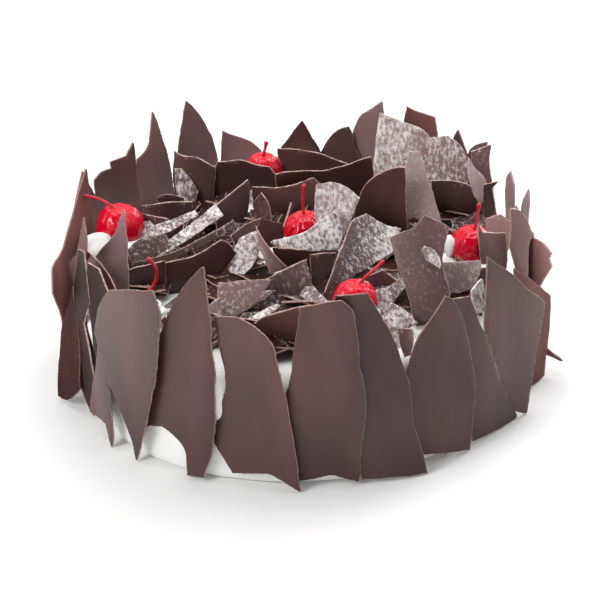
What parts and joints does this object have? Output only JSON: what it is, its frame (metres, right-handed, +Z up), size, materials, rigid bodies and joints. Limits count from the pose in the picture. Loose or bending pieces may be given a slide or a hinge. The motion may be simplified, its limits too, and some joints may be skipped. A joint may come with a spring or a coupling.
{
  "type": "black forest cake",
  "caption": "Round cream-covered cake walled with tall curled dark chocolate shards, with more shards heaped on top and stemmed red cherries on piped rosettes.",
  "frame": {"origin": "middle of the cake's flat underside", "axes": "+Z up, -Y to the cake's front, +X to its right"},
  "size_m": [0.2709, 0.2584, 0.119],
  "materials": {
    "cream": "soft whipped cream, matt with a faint sheen",
    "chocolate": "tempered dark chocolate, satin, with paler broken edges and icing sugar on top",
    "cherry": "glossy wet cocktail cherry"
  },
  "bodies": {
    "root": {"cream_covered_cake": "cream", "cherry_left": "cherry", "cherry_back": "cherry", "cherry_middle": "cherry", "cherry_back_right": "cherry", "cherry_right": "cherry", "cherry_front": "cherry", "cherry_front_left": "cherry", "wall_shard_01": "chocolate", "wall_shard_02": "chocolate", "wall_shard_03": "chocolate", "wall_shard_04": "chocolate", "wall_shard_05": "chocolate", "wall_shard_06": "chocolate", "wall_shard_07": "chocolate", "wall_shard_08": "chocolate", "wall_shard_09": "chocolate", "wall_shard_10": "chocolate", "wall_shard_11": "chocolate", "wall_shard_12": "chocolate", "wall_shard_13": "chocolate", "wall_shard_14": "chocolate", "wall_shard_15": "chocolate", "wall_shard_16": "chocolate", "wall_shard_17": "chocolate", "wall_shard_18": "chocolate", "wall_shard_19": "chocolate", "wall_shard_20": "chocolate", "wall_shard_21": "chocolate", "wall_shard_22": "chocolate", "wall_shard_23": "chocolate", "wall_shard_24": "chocolate", "wall_shard_25": "chocolate", "wall_shard_26": "chocolate", "wall_shard_27": "chocolate", "heap_right_front_slab": "chocolate", "heap_long_dusted_slab": "chocolate", "heap_back_slab_left": "chocolate", "heap_back_slab_right": "chocolate", "heap_tall_narrow": "chocolate", "heap_sail": "chocolate", "heap_square_dusted": "chocolate", "heap_left_spike": "chocolate", "heap_front_dark_plate": "chocolate", "heap_crescent": "chocolate", "heap_back_left_plate": "chocolate", "heap_back_middle_plate": "chocolate", "heap_back_hollow_plate": "chocolate", "heap_back_rim_plate": "chocolate", "heap_left_wing": "chocolate", "heap_left_strip_dusted": "chocolate", "heap_left_front_plate": "chocolate", "heap_back_left_tall": "chocolate", "heap_speckled_leaf": "chocolate", "heap_middle_spike": "chocolate", "heap_front_middle_plate": "chocolate", "heap_front_flecked": "chocolate", "heap_right_low_plate": "chocolate", "heap_right_bowl": "chocolate", "heap_right_screen": "chocolate"}
  },
  "joints": []
}
